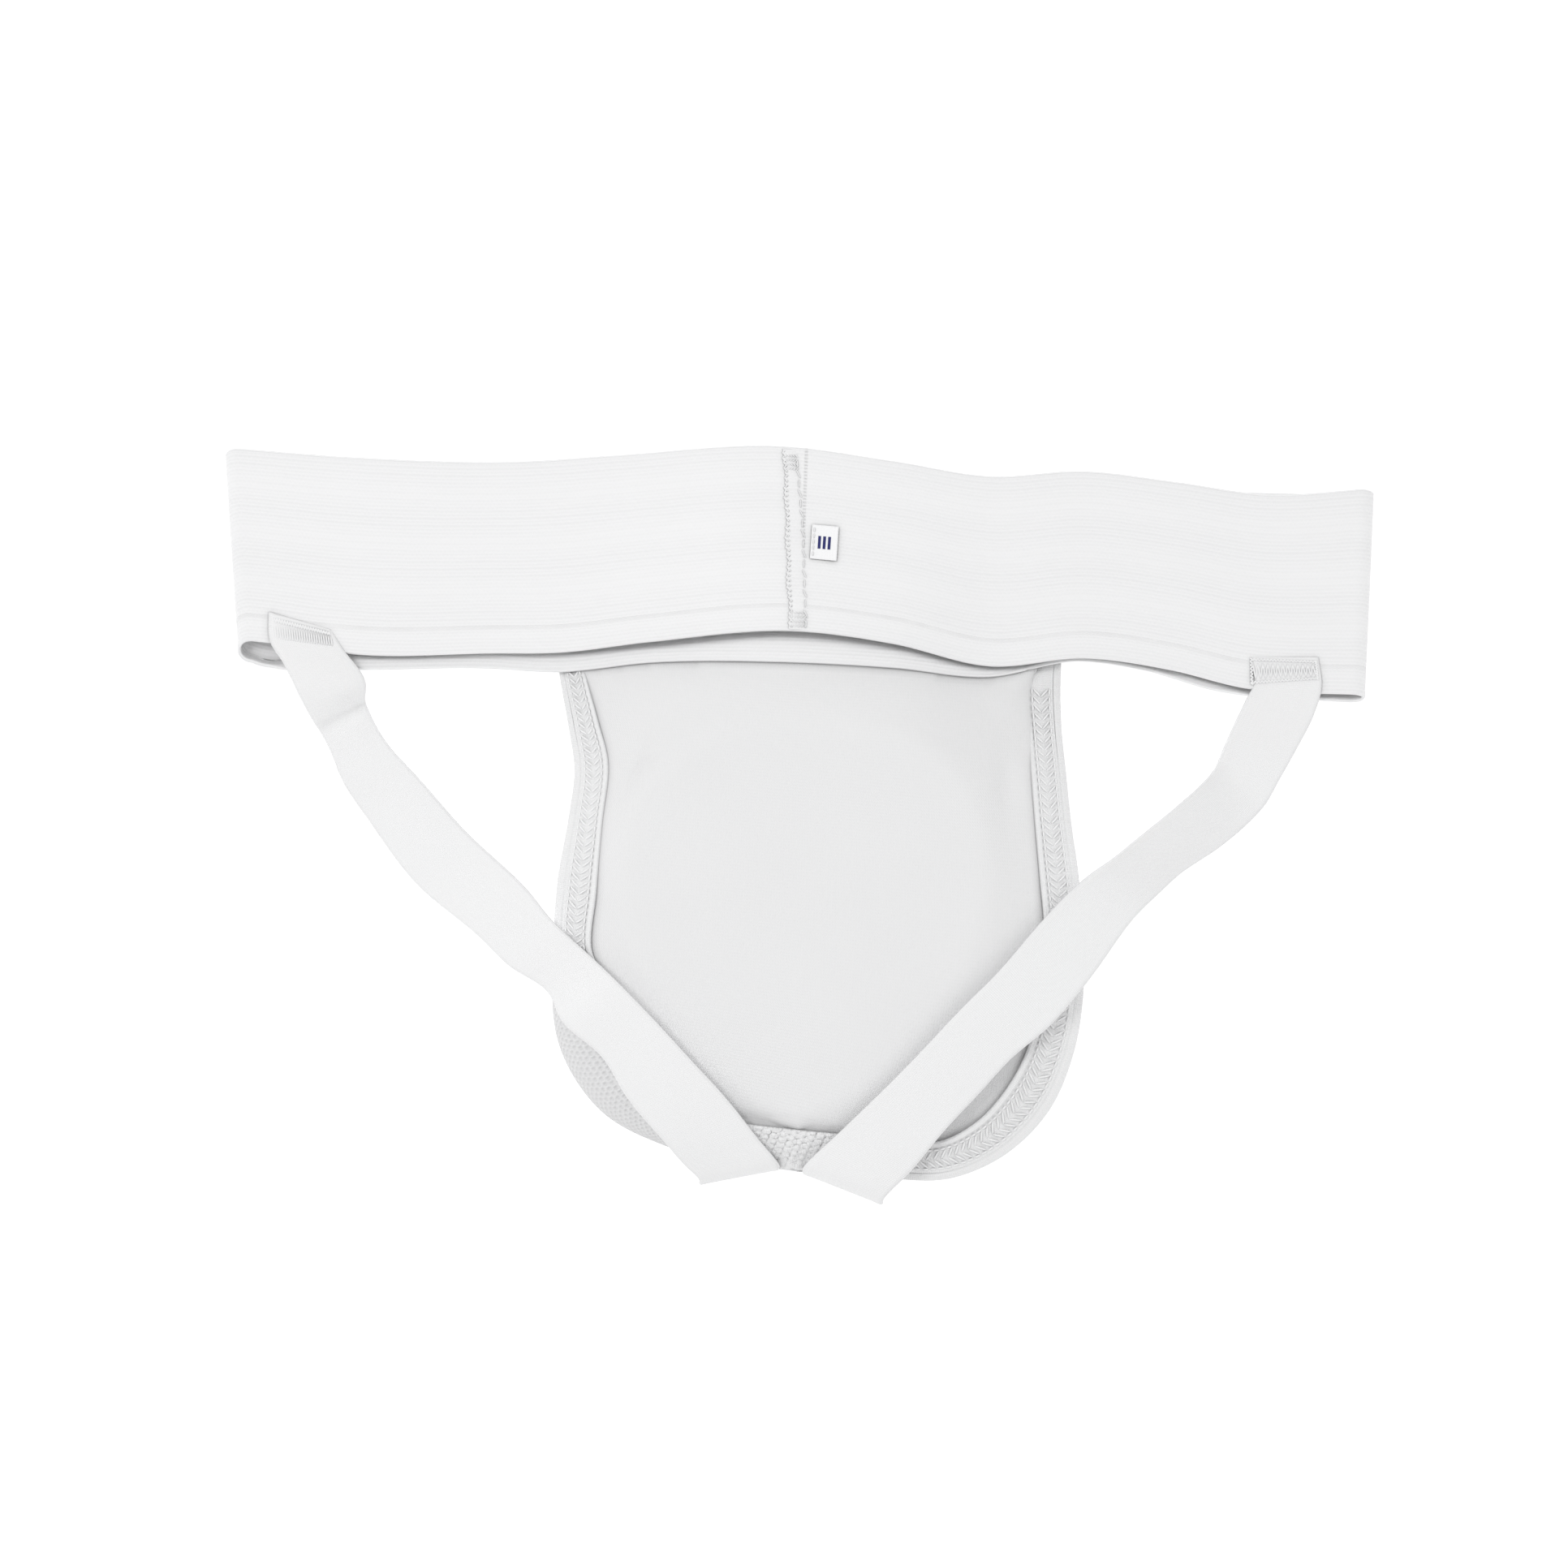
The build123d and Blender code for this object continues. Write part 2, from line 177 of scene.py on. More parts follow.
def cloth(name, grid, thick, wrap=False):
    """A closed sheet of cloth around a grid of middle points, with rounded edges."""
    grid = np.asarray(grid, float)
    rows, columns = grid.shape[:2]
    normal = normals_of(grid, wrap)
    half = np.broadcast_to(np.asarray(thick, float) / 2, (rows, columns))[..., None]
    u, v = np.meshgrid(lengths_along(grid, 1), lengths_along(grid, 0))
    flat = np.stack([u, v], -1)

    top = np.arange(rows * columns).reshape(rows, columns)
    vertices = [(grid + normal * half).reshape(-1, 3), (grid - normal * half).reshape(-1, 3)]
    maps = [flat.reshape(-1, 2), flat.reshape(-1, 2)]
    faces = []

    def quads(a, b, c, d):
        faces.extend(np.stack([a, b, c, d], -1).reshape(-1, 4).tolist())

    right = np.roll(top, -1, axis=1) if wrap else top[:, 1:]
    left = top if wrap else top[:, :-1]
    quads(left[:-1], right[:-1], right[1:], left[1:])
    shift = rows * columns
    quads(left[1:] + shift, right[1:] + shift, right[:-1] + shift, left[:-1] + shift)

    count = 2 * rows * columns
    borders = [
        (top[0], grid[0], grid[0] - grid[1], True),
        (top[-1], grid[-1], grid[-1] - grid[-2], False),
    ]
    if not wrap:
        borders.append((top[:, 0], grid[:, 0], grid[:, 0] - grid[:, 1], False))
        borders.append((top[:, -1], grid[:, -1], grid[:, -1] - grid[:, -2], True))
    flat_of = flat.reshape(-1, 2)
    reach_of = half.reshape(-1, 1)
    for line, points, outward, turned in borders:
        edge = points + unit(outward) * reach_of[line] * 0.85
        ring = np.arange(len(line)) + count
        count += len(line)
        vertices.append(edge)
        maps.append(flat_of[line])
        pairs = [(line, ring), (ring, line + shift)]
        for first, second in pairs:
            a, b = first, second
            if turned:
                a, b = second, first
            if wrap:
                quads(a, b, np.roll(b, -1), np.roll(a, -1))
            else:
                quads(a[:-1], b[:-1], b[1:], a[1:])
    if not wrap:
        # The four corners, where two edge rings meet.
        rings = {}
        offset = 2 * rows * columns
        for key, size in (("low", columns), ("high", columns), ("left", rows), ("right", rows)):
            rings[key] = np.arange(offset, offset + size)
            offset += size
        corners = [
            (top[0, 0], rings["low"][0], rings["left"][0], True),
            (top[0, -1], rings["low"][-1], rings["right"][0], False),
            (top[-1, 0], rings["high"][0], rings["left"][-1], False),
            (top[-1, -1], rings["high"][-1], rings["right"][-1], True),
        ]
        for corner, one, other, turned in corners:
            upper = [int(corner), int(other), int(one)]
            lower = [int(corner) + shift, int(one), int(other)]
            faces.append(upper if turned else upper[::-1])
            faces.append(lower if turned else lower[::-1])
    return new_object(name, np.concatenate(vertices), faces, np.concatenate(maps))


def ribbon(left, right, rows, curve=0.0):
    """A grid across two edges: rows from the left edge to the right, bowed by curve in the middle."""
    share = np.linspace(0, 1, rows)[:, None, None]
    grid = left[None] * (1 - share) + right[None] * share
    return grid + UP * curve * 4 * share * (1 - share)


def threads(name, starts, ends, radius=0.17, lift=0.22, sides=6):
    """Sewn stitches as one mesh: each a short arched thread from its start to its end."""
    starts, ends = np.asarray(starts, float), np.asarray(ends, float)
    steps = np.linspace(0, 1, 5)
    sizes = np.array([0.55, 1.0, 1.0, 1.0, 0.55]) * radius
    direction = unit(ends - starts)
    side = unit(np.cross(direction, UP))
    up = np.cross(side, direction)
    angles = np.arange(sides) * 2 * math.pi / sides
    vertices, faces = [], []
    for n in range(len(starts)):
        base = n * len(steps) * sides
        for t, size in zip(steps, sizes):
            centre = starts[n] * (1 - t) + ends[n] * t + up[n] * (lift * math.sin(math.pi * t) - 0.05)
            ring = centre + size * (
                np.cos(angles)[:, None] * side[n] + np.sin(angles)[:, None] * up[n]
            )
            vertices.append(ring)
        for k in range(len(steps) - 1):
            for j in range(sides):
                a, b = base + k * sides + j, base + k * sides + (j + 1) % sides
                faces.append([a, b, b + sides, a + sides])
        faces.append([base + j for j in reversed(range(sides))])
        last = base + (len(steps) - 1) * sides
        faces.append([last + j for j in range(sides)])
    return new_object(name, np.concatenate(vertices), faces)


# ---- Materials -----------------------------------------------------------------
def socket(tree, target, value):
    """Links a socket to another, or sets its value."""
    if isinstance(value, bpy.types.NodeSocket):
        tree.links.new(value, target)
    else:
        target.default_value = value


def maths(tree, operation, first, second=0.0):
    """The output of a Math node on two sockets or numbers."""
    node = tree.nodes.new("ShaderNodeMath")
    node.operation = operation
    socket(tree, node.inputs[0], first)
    socket(tree, node.inputs[1], second)
    return node.outputs[0]


def wave(tree, coordinate, pitch, phase=0.0):
    """A sine over a coordinate in metres, one turn every pitch millimetres."""
    turns = maths(tree, "MULTIPLY", coordinate, 2 * math.pi / (pitch * MM))
    return maths(tree, "SINE", maths(tree, "ADD", turns, phase))


def noise(tree, scale, detail=2.0):
    """Noise over the object's own space, in cells per metre."""
    place = tree.nodes.new("ShaderNodeTexCoord")
    node = tree.nodes.new("ShaderNodeTexNoise")
    node.inputs["Scale"].default_value = scale
    node.inputs["Detail"].default_value = detail
    tree.links.new(place.outputs["Object"], node.inputs["Vector"])
    return node.outputs["Fac"]


def cloth_map(tree):
    """The two coordinates of the cloth map: along the rows and along the columns."""
    node = tree.nodes.new("ShaderNodeUVMap")
    node.uv_map = "cloth"
    split = tree.nodes.new("ShaderNodeSeparateXYZ")
    tree.links.new(node.outputs[0], split.inputs[0])
    return split.outputs[0], split.outputs[1]


def streaks(tree, across, length):
    """Faint uneven lines along the cloth, a few millimetres apart, about -1 to 1."""
    slow = wave(tree, across, length, 0.7)
    return maths(tree, "MULTIPLY", slow, wave(tree, across, length * 0.37, 2.1))


def rib_height(tree):
    """Ribs along the elastic, each a chain of small stitches."""
    u, v = cloth_map(tree)
    drift = maths(tree, "MULTIPLY", noise(tree, 120.0), 2.2)
    rib = wave(tree, v, 1.25, drift)
    chain = maths(tree, "MULTIPLY", wave(tree, u, 1.5, drift), wave(tree, v, 2.5))
    streak = maths(tree, "MULTIPLY", streaks(tree, v, 5.0), 0.9)
    return maths(tree, "ADD", maths(tree, "ADD", rib, streak), maths(tree, "MULTIPLY", chain, 0.5))


def webbing_height(tree):
    """A tight woven tape: a small twill with its floats along the strap."""
    u, v = cloth_map(tree)
    one = wave(tree, maths(tree, "ADD", u, v), 1.3)
    other = wave(tree, maths(tree, "SUBTRACT", u, v), 1.3, 1.6)
    return maths(tree, "MULTIPLY", one, other)


def pique_height(tree):
    """A knit of small round bumps in offset rows."""
    u, v = cloth_map(tree)
    bumps = maths(tree, "MULTIPLY", wave(tree, u, 2.6), wave(tree, v, 2.2))
    return maths(tree, "ADD", bumps, maths(tree, "MULTIPLY", noise(tree, 900.0), 0.5))


def jersey_height(tree):
    """Fine wales of a plain knit."""
    u, v = cloth_map(tree)
    drift = maths(tree, "MULTIPLY", noise(tree, 90.0), 3.0)
    loops = maths(tree, "MULTIPLY", wave(tree, u, 0.9, drift), wave(tree, v, 1.1))
    return maths(tree, "ADD", maths(tree, "MULTIPLY", wave(tree, u, 0.9, drift), 0.6), loops)


def grain_height(tree):
    """The fine grain of a moulded or spun surface."""
    return maths(tree, "MULTIPLY", noise(tree, 1400.0, 3.0), 2.0)


# Reach in millimetres of the painted shade in folds and inside the flat loop.
FOLD_REACH, LOOP_REACH = 3.0, 9.0


def crevice_shade(tree, reach, strength, power=1.0):
    """Painted shade from ambient occlusion: how open the surface is within reach millimetres, 1 in the
    open and less in folds.
    """
    node = tree.nodes.new("ShaderNodeAmbientOcclusion")
    node.samples = 6
    node.inputs["Distance"].default_value = reach * MM
    closed = maths(tree, "SUBTRACT", 1.0, node.outputs["AO"])
    closed = maths(tree, "POWER", closed, power)
    return maths(tree, "SUBTRACT", 1.0, maths(tree, "MULTIPLY", closed, strength))


def finish(
    name, colour, height, depth, shade=0.06, roughness=0.9, sheen=0.25, fold_shade=0.7, loop_shade=0.0
):
    """A material with painted shade: darker in its weave's hollows, in folds and inside a flat loop.

    Its height drives the bump too, with depth in millimetres.
    """
    material = bpy.data.materials.new(name)
    material.use_nodes = True
    tree = material.node_tree
    shader = tree.nodes["Principled BSDF"]
    heights = height(tree)
    # Painted shade in the weave's hollows: the base colour darkens where the weave's height is low.
    tone = tree.nodes.new("ShaderNodeMapRange")
    tone.inputs["From Min"].default_value = -1.6
    tone.inputs["From Max"].default_value = 1.0
    tone.inputs["To Min"].default_value = 1.0 - shade
    tone.inputs["To Max"].default_value = 1.0
    tree.links.new(heights, tone.inputs["Value"])
    cloud = maths(tree, "MULTIPLY", maths(tree, "SUBTRACT", noise(tree, 28.0), 0.5), 0.03)
    paint = tree.nodes.new("ShaderNodeMix")
    paint.data_type = "RGBA"
    paint.inputs["A"].default_value = (0, 0, 0, 1)
    paint.inputs["B"].default_value = (*colour, 1)
    weave_tone = maths(tree, "ADD", tone.outputs[0], cloud)
    # Painted shade: the base colour darkens in folds, where shade falls.
    tone_share = maths(tree, "MULTIPLY", weave_tone, crevice_shade(tree, FOLD_REACH, fold_shade))
    # Painted shade: the base colour darkens deep inside the flat loop.
    if loop_shade:
        tone_share = maths(tree, "MULTIPLY", tone_share, crevice_shade(tree, LOOP_REACH, loop_shade, power=3.0))
    tree.links.new(tone_share, paint.inputs["Factor"])
    tree.links.new(paint.outputs["Result"], shader.inputs["Base Color"])
    bump = tree.nodes.new("ShaderNodeBump")
    bump.inputs["Strength"].default_value = 0.8
    bump.inputs["Distance"].default_value = depth * MM
    tree.links.new(heights, bump.inputs["Height"])
    tree.links.new(bump.outputs[0], shader.inputs["Normal"])
    shader.inputs["Roughness"].default_value = roughness
    shader.inputs["Sheen Weight"].default_value = sheen
    shader.inputs["Sheen Roughness"].default_value = 0.5
    return material


WHITE = (0.925, 0.925, 0.93)
# The fold and loop values below set how much painted shade each material gets in folds and inside the
# loop.
rib_elastic = finish("rib_elastic", WHITE, rib_height, 0.05, shade=0.035, fold_shade=0.6, loop_shade=0.9)
strap_elastic = finish("strap_elastic", WHITE, webbing_height, 0.06, shade=0.03, fold_shade=0.5)
binding_elastic = finish("binding_elastic", WHITE, webbing_height, 0.10, shade=0.04, fold_shade=0.55)
outer_knit = finish("outer_knit", (0.84, 0.84, 0.845), pique_height, 0.35, shade=0.14)
lining_jersey = finish(
    "lining_jersey", (0.85, 0.85, 0.855), jersey_height, 0.03, shade=0.02, fold_shade=0.65
)
seam_tape = finish("seam_tape", WHITE, webbing_height, 0.08)
thread = finish("thread", (0.95, 0.95, 0.955), grain_height, 0.03, sheen=0.4, fold_shade=0.2)
label_tape = finish(
    "label_tape", (0.97, 0.97, 0.98), jersey_height, 0.02, shade=0.02, roughness=0.55
)
label_print = finish("label_print", (0.03, 0.035, 0.16), grain_height, 0.02, sheen=0.0)
cup_plastic = finish("cup_plastic", (0.80, 0.81, 0.82), grain_height, 0.03, roughness=0.38, sheen=0.0)
cup_rubber = finish("cup_rubber", (0.66, 0.67, 0.68), grain_height, 0.06, roughness=0.6, sheen=0.1)


# ---- Waistband -------------------------------------------------------------------
# Along each edge of the loop's two layers, from left to right: x, y and z of the cloth's middle.
BACK_UPPER = [
    (-197, 123, 9), (-150, 121, 9.5), (-95, 121.5, 12), (-62, 124.5, 16), (-5, 129, 22),
    (32, 125.5, 20), (66, 122, 14), (96, 125, 11.5), (130, 122.5, 10), (160, 119.5, 9.5), (197, 123, 9),
]
BACK_LOWER = [
    (-190, 58.2, 9.3), (-179, 57.4, 9.6), (-165, 55.6, 9.8), (-146, 54.5, 10), (-104, 56.5, 12),
    (-80, 57.5, 15), (-48, 62, 24), (0, 67, 32), (34, 64, 28), (67, 58, 18), (100, 62, 13.5),
    (130, 59, 11), (154, 54, 10), (197, 53, 9.3),
]
FRONT_UPPER = [
    (-197, 119, 0.8), (-100, 116, 1.2), (-48, 118, 8), (0, 122, 15), (40, 120, 13), (90, 120, 2.6),
    (197, 121, 0.8),
]
FRONT_LOWER = [
    (-193, 53.8, 5.4), (-183, 49.7, 5.8), (-175, 48.7, 5.6), (-147, 49.6, 5.2), (-105, 51.5, 6.8),
    (-80, 51, 10.5), (-48, 55, 20), (-4, 56.5, 28.5), (34, 56, 24.5), (67, 54.4, 14.2), (98, 61.2, 8.5),
    (120, 59, 5.6), (146, 52.7, 5.0), (180, 50.8, 4.4), (197, 50.5, 3.0),
]
# How far the front layer falls away behind its lower strip, and how wide the strip is at least.
FRONT_DROP = [
    (-197, 2), (-188, 4.4), (-100, 5), (-48, 7), (0, 8), (40, 7.5), (70, 6), (110, 4.4),
    (186, 3.6), (197, 1),
]
FULL_STRIP = 4.0
STRIP_SHOWN = [(-197, 0.4), (-176, 0.4), (-166, FULL_STRIP), (197, FULL_STRIP)]
# The fall's width along Y, and how far ahead of the back layer's lower edge it starts.
DROP_WIDTH = 2.4
DROP_AHEAD = [(-197, 2.1), (-75, 2.1), (-48, 3.2), (25, 3.0), (60, 2.2), (197, 2.2)]
FRONT_LOWEST = 0.7
SEAM_X = 1.5
FOLD_RADIUS = 4.3
# The rows crowd towards the lower edge, where the front layer bends most.
BAND_ROWS, BACK_COLUMNS, FRONT_COLUMNS = 64, 170, 300
ROW_CROWDING = 1.5


def layer_point(lower, upper, x, share):
    """A point of one layer at x, share of the way from its lower to its upper edge."""
    low, high = through(lower, x), through(upper, x)
    y, z = np.moveaxis(low * (1 - share[..., None]) + high * share[..., None], -1, 0)
    return np.stack([x, y, z + 0.3 * ripple(x, y, 34.0)], -1)


def layer_height(lower, upper, x, y):
    """Height of the middle of one layer's cloth over a point."""
    x, y = np.broadcast_arrays(np.asarray(x, float), np.asarray(y, float))
    low, high = through(lower, x), through(upper, x)
    share = np.clip((y - low[..., 0]) / (high[..., 0] - low[..., 0]), 0, 1)
    return layer_point(lower, upper, x, share)[..., 2]


def back_height(x, y):
    return layer_height(BACK_LOWER, BACK_UPPER, x, y)


def front_height(x, y):
    """Height of the middle of the front layer's cloth, its drop behind the lower strip included."""
    x, y = np.broadcast_arrays(np.asarray(x, float), np.asarray(y, float))
    low, high = through(FRONT_LOWER, x), through(FRONT_UPPER, x)
    share = np.clip((y - low[..., 0]) / (high[..., 0] - low[..., 0]), 0, 1)
    return front_layer(x, share)[..., 2]


def behind_strip(x, y):
    """How far the front layer has fallen at a point behind its lower strip, 0 to 1."""
    shown = through(STRIP_SHOWN, x)
    rim = through(FRONT_LOWER, x)[..., 0] + shown
    back = through(BACK_LOWER, x)[..., 0] - through(DROP_AHEAD, x)
    start = np.where(shown < FULL_STRIP - 0.1, np.minimum(rim, back), back)
    return eased((y - start) / DROP_WIDTH)


def front_layer(x, share):
    """A point of the front layer: its lower strip stands up and the rest falls away behind it."""
    points = layer_point(FRONT_LOWER, FRONT_UPPER, x, share)
    points[..., 2] -= through(FRONT_DROP, x) * behind_strip(x, points[..., 1]) * (1 - share) ** 2
    points[..., 2] = np.maximum(points[..., 2], FRONT_LOWEST)
    return points


def band_grid():
    """The elastic loop, round from the back seam by the left fold, the front and the right fold."""
    share = np.linspace(0, 1, BAND_ROWS)[:, None] ** ROW_CROWDING
    left_end = -190.0 - 6.8 * share + FOLD_RADIUS
    right_end = 196.3 + 0.6 * share - FOLD_RADIUS
    half, whole = np.linspace(0, 1, BACK_COLUMNS)[None], np.linspace(0, 1, FRONT_COLUMNS)[None]
    shares = np.broadcast_to(share, (BAND_ROWS, BACK_COLUMNS))
    back_left = layer_point(BACK_LOWER, BACK_UPPER, SEAM_X + (left_end - SEAM_X) * half, shares)
    back_right = layer_point(BACK_LOWER, BACK_UPPER, right_end + (SEAM_X - right_end) * half, shares)
    shares = np.broadcast_to(share, (BAND_ROWS, FRONT_COLUMNS))
    front = front_layer(left_end + (right_end - left_end) * whole, shares)

    def fold(start, finish, side):
        angle = np.linspace(0, math.pi, 14)[1:-1][None, :, None]
        middle = (start + finish)[:, None] / 2
        arm = (start - finish)[:, None] / 2
        return middle + arm * np.cos(angle) + side * FOLD_RADIUS * np.sin(angle) * np.array([1, 0, 0])

    left_fold = fold(back_left[:, -1], front[:, 0], -1)
    right_fold = fold(front[:, -1], back_right[:, 0], 1)
    return np.concatenate([back_left, left_fold, front, right_fold, back_right[:, :-1]], axis=1)


waistband = cloth("waistband_elastic", band_grid(), BAND_THICK, wrap=True)
finish_piece(waistband, ROOT, rib_elastic, ["waistband"])


# ---- Back seam and size label --------------------------------------------------
# The overlap's two edges from the lower edge to the upper one: y, left x, right x.
OVERLAP_EDGES = [
    (67.2, -1.2, 5.4), (83, -2.6, 4.4), (99, -3.6, 3.4), (115, -4.6, 1.4), (128.3, -5.6, -0.4),
]


def on_back(x, y, lift):
    """Points a lift over the middle of the back layer's cloth."""
    return np.stack([x, y, back_height(x, y) + lift], -1)


ROW_PITCH = 1.7
LEFT_ROW, RIGHT_ROW = 0.1, 0.8


def overlap_grid():
    """The overlap, its left edge frayed by the stitches and dimpled along both rows of them."""
    y = np.linspace(OVERLAP_EDGES[0][0], OVERLAP_EDGES[-1][0], 260)
    edges = through(OVERLAP_EDGES, y)
    turn = 2 * math.pi * y / ROW_PITCH
    edges[:, 0] += 0.25 * np.sin(turn) + 0.3 * np.sin(y / 2.3) + 0.15 * np.sin(y * 1.9)
    share = np.linspace(0, 1, 33)
    x = edges[:, :1] * (1 - share) + edges[:, 1:] * share
    dent = (0.5 + 0.5 * np.cos(turn)[:, None]) ** 2
    rows = 0.3 * bump_at(share, LEFT_ROW, 0.05) + 0.15 * bump_at(share, RIGHT_ROW, 0.05)
    height = 0.22 - 0.62 * np.clip((share - 0.2) / 0.8, 0, 1) - dent * rows
    return on_back(x, np.broadcast_to(y[:, None], x.shape), BAND_THICK / 2 + height)


overlap = cloth("back_seam_overlap_strip", overlap_grid(), 0.55)
finish_piece(overlap, ROOT, rib_elastic, ["back_seam_overlap"])


def seam_row(share, low, high, pitch, swing, lean=0.0):
    """Stitches up the seam at a share of its width, swinging from side to side."""
    y = np.arange(low, high, pitch)
    edges = through(OVERLAP_EDGES, y)
    x = edges[:, 0] * (1 - share) + edges[:, 1] * share
    x = x + swing * np.where(np.arange(len(y)) % 2, 1, -1)
    points = on_back(x, y, BAND_THICK / 2 + 0.5 - 0.3 * share)
    return list(zip(points[:-1] + [lean, 0.3, 0], points[1:] - [lean, 0.3, 0]))


seam_stitches = seam_row(LEFT_ROW, 67.5, 128, ROW_PITCH, 0.4)
seam_stitches += seam_row(RIGHT_ROW, 67.5, 126, 2 * ROW_PITCH, 0.35, lean=0.25)
for low, high in ((67.6, 74.5), (121.0, 127.8)):
    for column in range(5):
        seam_stitches += seam_row(0.1 + 0.17 * column, low, high, 1.5, 0.4)
starts, ends = zip(*seam_stitches)
finish_piece(
    threads("back_seam_thread", starts, ends, radius=0.17, lift=0.2),
    ROOT, thread, ["back_seam_stitches"],
)

label_low, label_high = cad_box("size_label")
LABEL_TILT = -0.06
LABEL_LIFT = BAND_THICK / 2 + 0.5


def on_label(u, v, lift=0.0):
    """A point of the curled label: u across from its sewn edge and v up, both 0 to 1."""
    width = label_high[0] - label_low[0]
    length = label_high[1] - label_low[1]
    x = label_low[0] - 1.2 + u * (width + 0.8) + 0.05 * v * width
    y = label_low[1] - 0.1 + v * length + LABEL_TILT * u * width
    curl = 0.35 * u**2 + 0.12 * (2 * v - 1) ** 2 * u
    return on_back(x, y, LABEL_LIFT + curl + lift)


def label_patch(name, u_low, u_high, v_low, v_high, thick, lift, count):
    u, v = np.meshgrid(np.linspace(u_low, u_high, count), np.linspace(v_low, v_high, count))
    return cloth(name, on_label(u, v, lift), thick)


label = label_patch("size_label_tape", 0, 1, 0, 1, 0.3, 0.0, 24)
finish_piece(label, LABEL, label_tape, ["size_label"])

BAR_WIDTH = 0.1
for n, middle in enumerate((0.31, 0.5, 0.69)):
    bar = label_patch(
        f"size_bar_{n + 1}", middle - BAR_WIDTH / 2, middle + BAR_WIDTH / 2, 0.31, 0.68, 0.1, 0.17, 8
    )
    finish_piece(bar, LABEL, label_print, ["size_mark"] if n == 0 else [])

v = np.linspace(0.06, 0.94, 6)
edge = on_label(np.full(6, 0.09), v, 0.3)
finish_piece(
    threads("label_thread", edge[:-1] + [0, 0.25, 0], edge[1:] - [0, 0.25, 0], radius=0.18),
    ROOT, thread, ["label_stitches"],
)


# ---- Leg straps ------------------------------------------------------------------
# Stations from the band to the pouch's lower end: outer x, y, inner x, y, outer z, inner z.
LEFT_STRAP = [
    (-179.6, 67.2, -158.6, 62.2, 10.25, 10.0), (-178.6, 57.6, -154.2, 55.6, 10.6, 10.4),
    (-173.6, 50, -149.2, 49.6, 10.6, 9.6), (-167.6, 38.5, -146.4, 43.5, 9.4, 7.6),
    (-163.8, 31.5, -146.9, 39.4, 6.2, 3.8), (-161.4, 27.6, -146.6, 36.8, 3.4, 1.9),
    (-159.2, 24.2, -145.2, 34.0, 4.0, 3.0), (-151.5, 9.5, -137, 22.5, 9.6, 10.4),
    (-143.5, -1, -127, 12.5, 12, 12),
    (-125.5, -22, -109.5, -5, 22, 21), (-101.5, -39.5, -86.5, -24, 37, 36),
    (-90.5, -48.5, -77, -34, 45, 44), (-77, -56.5, -63.5, -45, 50.6, 50.6),
    (-71.5, -65.5, -56, -51, 57.4, 58), (-57.5, -77, -42, -64, 60.5, 61.5),
    (-49, -89.5, -29, -77, 62.5, 63.2), (-36, -104, -15, -91.5, 61.8, 63.0),
    (-30.0, -110.8, -6.6, -101.6, 59.4, 61.4), (-24.5, -116.6, 1.0, -110.8, 55.4, 56.8),
]
RIGHT_STRAP = [
    (179.5, 64.6, 157, 64, 10.2, 10.2), (180.8, 55, 158.4, 55.6, 10.5, 10.5),
    (178.4, 45, 155.6, 48.5, 10.2, 9.8), (173.5, 34, 151.4, 38.5, 9.0, 8.4),
    (167.8, 22.5, 148, 29.5, 7.4, 6.8), (163.5, 14, 146.2, 25, 6.2, 6.8),
    (158.0, 7.6, 141.6, 20.0, 6.8, 12.4), (149.5, 0, 133.5, 13, 9.4, 20.6),
    (133.5, -11, 117.5, 0, 18.6, 31.4), (126.0, -17.5, 110.0, -6, 26.0, 37.6),
    (117.5, -25, 101.5, -12.5, 36.4, 39.4),
    (100.5, -47.5, 85, -29, 50.5, 49.5), (88.5, -61.5, 71.5, -45, 56.5, 56.5),
    (76, -72.5, 58.5, -58.5, 60, 61), (65.5, -84.5, 46.5, -72, 62, 62.8),
    (54.5, -97, 35, -84.5, 63, 63.4), (44.5, -110, 22.5, -97.5, 63, 63.2),
    (35.6, -120.4, 9.6, -111.2, 61.5, 61.5),
]
# Round the pouch's lower end and back under it: how far each edge goes along Y, and its fall.
STRAP_RETURN = [(-1.5, 3.0), (-1.3, 6.5), (1.0, 10.5), (6.0, 17.5), (13.0, 26.0)]
STRAP_ROWS, STRAP_COLUMNS = 420, 22
SELVEDGE = 0.25


def strap_edges(stations):
    """The outer and inner edges of a strap as smooth paths, its return included."""
    outer_x, outer_y, inner_x, inner_y = stations[-1][:4]
    drift = -0.1 * np.sign(outer_x + inner_x)
    whole = list(stations)
    for reach, fall in STRAP_RETURN:
        z = stations[-1][4] - fall
        shift = drift * max(reach, 0)
        whole.append((outer_x + shift, outer_y + reach, inner_x + shift, inner_y + reach, z, z))
    table = [(ox, oy, oz, ix, iy, iz) for ox, oy, ix, iy, oz, iz in whole]
    path = along(table, STRAP_ROWS)
    return path[:, :3], path[:, 3:]


for side, stations in (("left", LEFT_STRAP), ("right", RIGHT_STRAP)):
    outer, inner = strap_edges(stations)
    grid = ribbon(outer, inner, STRAP_COLUMNS)
    share = np.linspace(-1, 1, STRAP_COLUMNS)[:, None]
    wave_along = 0.18 * ripple(grid[..., 0], grid[..., 1], 14.0)
    grid[..., 2] += wave_along * np.abs(share) ** 3
    thickness = STRAP_THICK + SELVEDGE * bump_at(np.abs(share), 0.93, 0.07)
    strap = cloth(f"{side}_leg_strap_webbing", grid, thickness)
    finish_piece(strap, ROOT, strap_elastic, [f"{side}_leg_strap"], blend=True)


# ---- Strap tacks -----------------------------------------------------------------
# Height of the middle of both straps' sewn ends at TACK_Y, and its slope along Y.
TACK_Z, TACK_Y, TACK_SLOPE = 10.4, 61.0, -0.033


